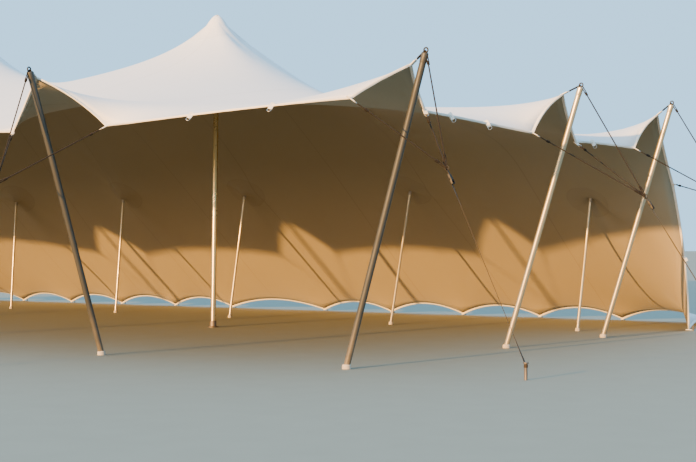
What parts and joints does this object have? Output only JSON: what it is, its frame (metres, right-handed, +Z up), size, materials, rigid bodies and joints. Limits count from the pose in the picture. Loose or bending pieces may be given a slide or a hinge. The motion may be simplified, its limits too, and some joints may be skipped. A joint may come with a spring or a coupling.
{
  "type": "stretch tent",
  "caption": "Stretch tent: one tensioned cloth on two king poles, with leaning edge poles, guy ropes with ratchet straps, stakes and a rear hem pegged down.",
  "frame": {"origin": "on the ground at the middle of the footprint, stakes and pegs included", "axes": "+Z up, +X along the open front to the right seen from the front, +Y from the open front to the pegged back"},
  "size_m": [21.168, 11.593, 4.9325],
  "materials": {
    "cloth": "matt white stretch cloth, tan below",
    "webbing": "woven white webbing",
    "pole": "dull anodised tube",
    "rope": "dark braided rope and strap",
    "stake": "galvanised steel",
    "pad": "black rubber"
  },
  "bodies": {
    "root": {"canopy": "cloth", "front_edge_webbing": "webbing", "right_edge_webbing": "webbing", "back_edge_webbing": "webbing", "left_edge_webbing": "webbing", "front_1_pole": "pole", "front_1_guy": "rope", "front_1_stake": "stake", "front_2_pole": "pole", "front_2_guy": "rope", "front_2_stake": "stake", "front_3_pole": "pole", "front_3_guy": "rope", "front_3_stake": "stake", "right_corner_pole": "pole", "right_corner_guy": "rope", "right_corner_stake": "stake", "right_middle_pole": "pole", "right_middle_guy": "rope", "right_middle_stake": "stake", "right_rear_pole": "pole", "right_rear_guy": "rope", "right_rear_stake": "stake", "left_corner_pole": "pole", "left_corner_guy": "rope", "left_corner_stake": "stake", "left_middle_pole": "pole", "left_middle_guy": "rope", "left_middle_stake": "stake", "left_rear_pole": "pole", "left_rear_guy": "rope", "left_rear_stake": "stake", "left_king_pad": "pad", "left_king_pole": "pole", "right_king_pad": "pad", "right_king_pole": "pole", "back_pole_1": "pole", "back_pole_2": "pole", "back_pole_3": "pole", "back_pole_4": "pole", "back_pole_5": "pole", "back_pole_6": "pole"}
  },
  "joints": []
}
